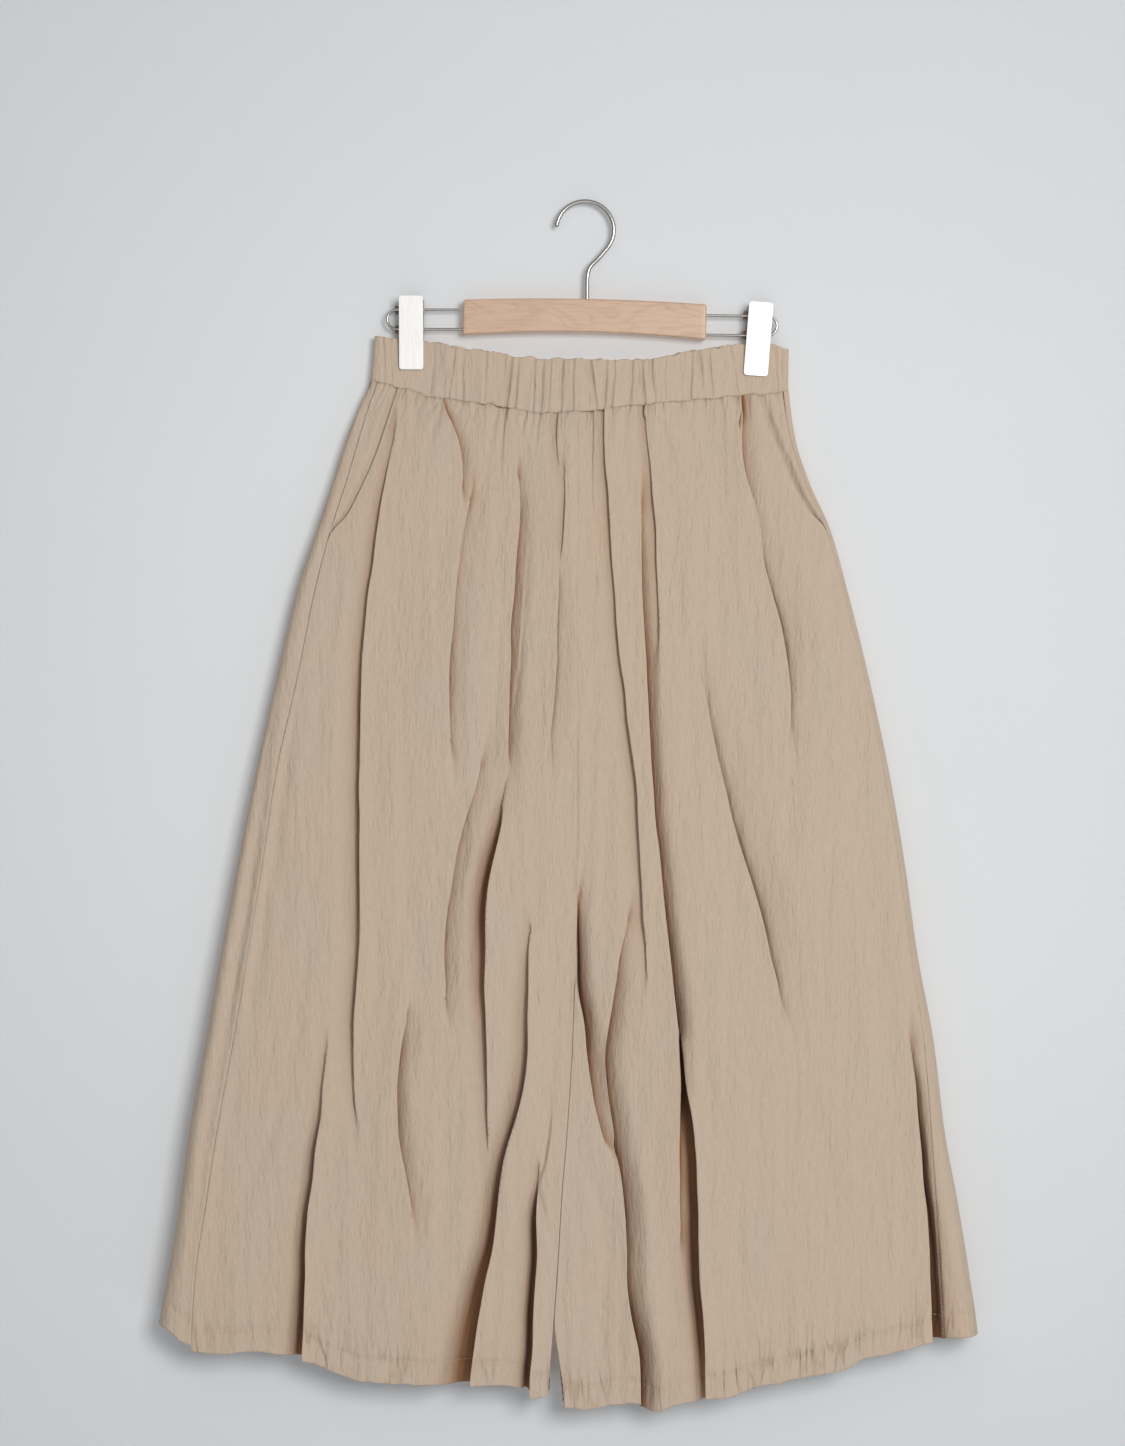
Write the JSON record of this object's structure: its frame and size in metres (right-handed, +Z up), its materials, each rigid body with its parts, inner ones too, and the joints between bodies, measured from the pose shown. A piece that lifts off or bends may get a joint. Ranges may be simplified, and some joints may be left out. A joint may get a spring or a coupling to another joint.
{
  "type": "culottes on a clip hanger",
  "caption": "Wide-leg culottes with a gathered elastic waistband and slanted side pockets, hung flat from the clips of a hanger with a wooden bar and a wire hook.",
  "frame": {"origin": "inside top of the hanger's hook, where it rests on a rail", "axes": "+Z up, -Y out of the front of the garment, +X to the right as seen from the front"},
  "size_m": [0.6536, 0.0541, 0.9654],
  "materials": {
    "cloth": "matt crinkled linen and cotton weave",
    "wood": "pale satin beech",
    "wire": "bright plated wire",
    "clip": "satin plated sheet",
    "spring": "dark spring steel",
    "grip": "matt"
  },
  "bodies": {
    "root": {"front_left": "cloth", "front_right": "cloth", "back_left": "cloth", "back_right": "cloth", "pocket_left": "cloth", "pocket_right": "cloth", "waistband_front": "cloth", "waistband_back": "cloth", "hook": "wire", "wood_bar": "wood", "rod_left": "wire", "rod_right": "wire", "clip_left_front_jaw": "clip", "clip_left_back_jaw": "clip", "clip_left_pin": "spring", "clip_left_spring": "spring", "clip_left_front_pad": "grip", "clip_left_back_pad": "grip", "clip_right_front_jaw": "clip", "clip_right_back_jaw": "clip", "clip_right_pin": "spring", "clip_right_spring": "spring", "clip_right_front_pad": "grip", "clip_right_back_pad": "grip"}
  },
  "joints": []
}
